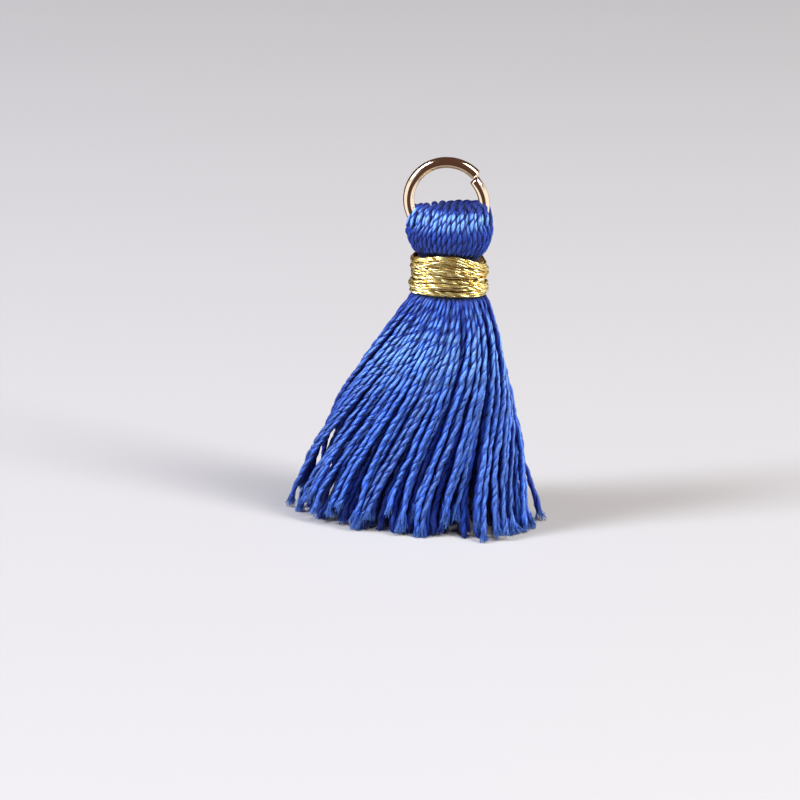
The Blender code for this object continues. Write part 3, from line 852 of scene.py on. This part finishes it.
def set_studio():
    """A pale floor, tall windows to the right and left and a small one high in front, in a room that
    the metal mirrors: dark walls before and behind, and pale ones at both sides, of which the right one
    reaches on behind the tassel. The metal doesn't mirror the floor but the room's lower part, which
    is darker."""
    mesh = bpy.data.meshes.new("floor")
    rim = np.arange(96) * TURN / 96
    points = FLOOR_RADIUS * np.stack([np.cos(rim), np.sin(rim), np.zeros(96)], axis=-1)
    mesh.from_pydata(points.tolist(), [], [list(range(96))])
    mesh.materials.append(floor_material())
    floor = bpy.data.objects.new("floor", mesh)
    bpy.context.scene.collection.objects.link(floor)
    floor.visible_glossy = False

    for window in WINDOWS:
        add_window(*window)

    world = bpy.data.worlds.new("room")
    world.use_nodes = True
    tree = world.node_tree
    background = tree.nodes["Background"]
    direction = add_node(tree, "ShaderNodeTexCoord").outputs["Generated"]
    across = (math.cos(CAMERA_AZIMUTH), math.sin(CAMERA_AZIMUTH), 0)
    to_right = add_node(tree, "ShaderNodeVectorMath", {"operation": "DOT_PRODUCT"}, i0=direction, i1=across)
    to_side = add_node(tree, "ShaderNodeMath", {"operation": "ABSOLUTE"}, i0=to_right.outputs["Value"])
    at_side = add_node(tree, "ShaderNodeMapRange", {"interpolation_type": "SMOOTHSTEP"},
                       Value=to_side.outputs["Value"], i1=0.50, i2=0.64, i3=0.0, i4=1.0)
    upright = add_node(tree, "ShaderNodeSeparateXYZ", Vector=direction)
    not_high = add_node(tree, "ShaderNodeMapRange", {"interpolation_type": "SMOOTHSTEP"},
                        Value=upright.outputs["Z"], i1=0.05, i2=0.4, i3=1.0, i4=0.0)
    sides = add_node(tree, "ShaderNodeMath", {"operation": "MULTIPLY"}, i0=at_side.outputs["Result"],
                     i1=not_high.outputs["Result"])
    below = add_node(tree, "ShaderNodeMapRange", {"interpolation_type": "SMOOTHSTEP"},
                     Value=upright.outputs["Z"], i1=-0.85, i2=-0.6, i3=0.4, i4=0.0)
    forward = (math.sin(CAMERA_AZIMUTH), -math.cos(CAMERA_AZIMUTH), 0)
    to_front = add_node(tree, "ShaderNodeVectorMath", {"operation": "DOT_PRODUCT"}, i0=direction, i1=forward)
    at_right = add_node(tree, "ShaderNodeMath", {"operation": "MAXIMUM"}, i0=to_right.outputs["Value"],
                        i1=0.0)
    reaching = add_node(tree, "ShaderNodeMath", {"operation": "ADD"}, i0=to_front.outputs["Value"],
                        i1=at_right.outputs["Value"])
    not_behind = add_node(tree, "ShaderNodeMapRange", {"interpolation_type": "SMOOTHSTEP"},
                          Value=reaching.outputs["Value"], i1=-0.4, i2=-0.15, i3=0.0, i4=1.0)
    walls = add_node(tree, "ShaderNodeMath", {"operation": "MULTIPLY"}, i0=sides.outputs["Value"],
                     i1=not_behind.outputs["Result"])
    pale = add_node(tree, "ShaderNodeMath", {"operation": "MAXIMUM"}, i0=walls.outputs["Value"],
                    i1=below.outputs["Result"])
    colour = add_node(tree, "ShaderNodeMix", {"data_type": "RGBA"}, Factor=pale.outputs["Value"],
                      i6=hex_colour(DARK_WALL), i7=hex_colour(PALE_WALL))
    tree.links.new(colour.outputs[2], background.inputs["Color"])
    background.inputs["Strength"].default_value = 1.15
    bpy.context.scene.world = world


def add_piece(name, node, material, grids, lengths, *attributes):
    """A piece of tubes that rides on the body, stands for a node and takes its finish."""
    piece = tube_mesh(name, grids, lengths, material, *attributes)
    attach(piece, "root")
    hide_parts(node)
    # The head is hidden from mirror rays, so that the ring's wire mirrors the pale wall past it
    piece.visible_glossy = not name.startswith("head")


bpy.context.scene.view_settings.view_transform = "Standard"
set_camera()
set_studio()

yarn, gold, wire = yarn_material(), gold_thread_material(), wire_material()
knots, end_z = skirt_courses()
outer = SKIRT_RINGS[0][1]
second = outer + SKIRT_RINGS[1][1]
cut_ends, cut_hidden = [], []
for name, part, *build in (
        # which strands, their fullness, how hidden they are and so how deep their painted shade, sides, rows
        # and seed
        ("skirt_back_strands", slice(0, outer // 2), 1.0, 0.0, 8, 120, 1),
        ("skirt_front_strands", slice(outer // 2, outer), 1.0, 0.0, 8, 120, 2),
        ("skirt_second_strands", slice(outer, second), 1.1, 0.4, 8, 100, 3),
        ("skirt_inner_strands", slice(second, None), 1.3, 0.65, 6, 80, 4)):
    strands = skirt_strands(knots[part], end_z[part], *build)
    cut_ends.append(strands[0][:, CUT_END].mean(axis=2))
    # The fibres of hidden strands are painted in shade, twice as deep
    cut_hidden.append(np.full(len(strands[0]), 2 * build[1]))
    add_piece(name, "yarn_bundle", yarn, *strands)

(ends, before), hidden = np.concatenate(cut_ends).swapaxes(0, 1), np.concatenate(cut_hidden)
for name, node, material, shape in (
        ("loose_end_fibres", "yarn_bundle", yarn, loose_fibres(ends, before, hidden, 5)),
        ("head_loops", "yarn_bundle", yarn, head_loops()),
        ("head_filling", "yarn_bundle", yarn, head_filling()),
        ("binding_turns", "binding", gold, gold_thread(binding_turns(), 0.0)),
        ("binding_crossing_turns", "binding", gold, gold_thread(crossing_turns(), 1.0, closed=True)),
        ("binding_filling", "binding", gold, binding_filling()),
        ("ring_wire", "jump_ring", wire, ring_wire())):
    add_piece(name, node, material, *shape)
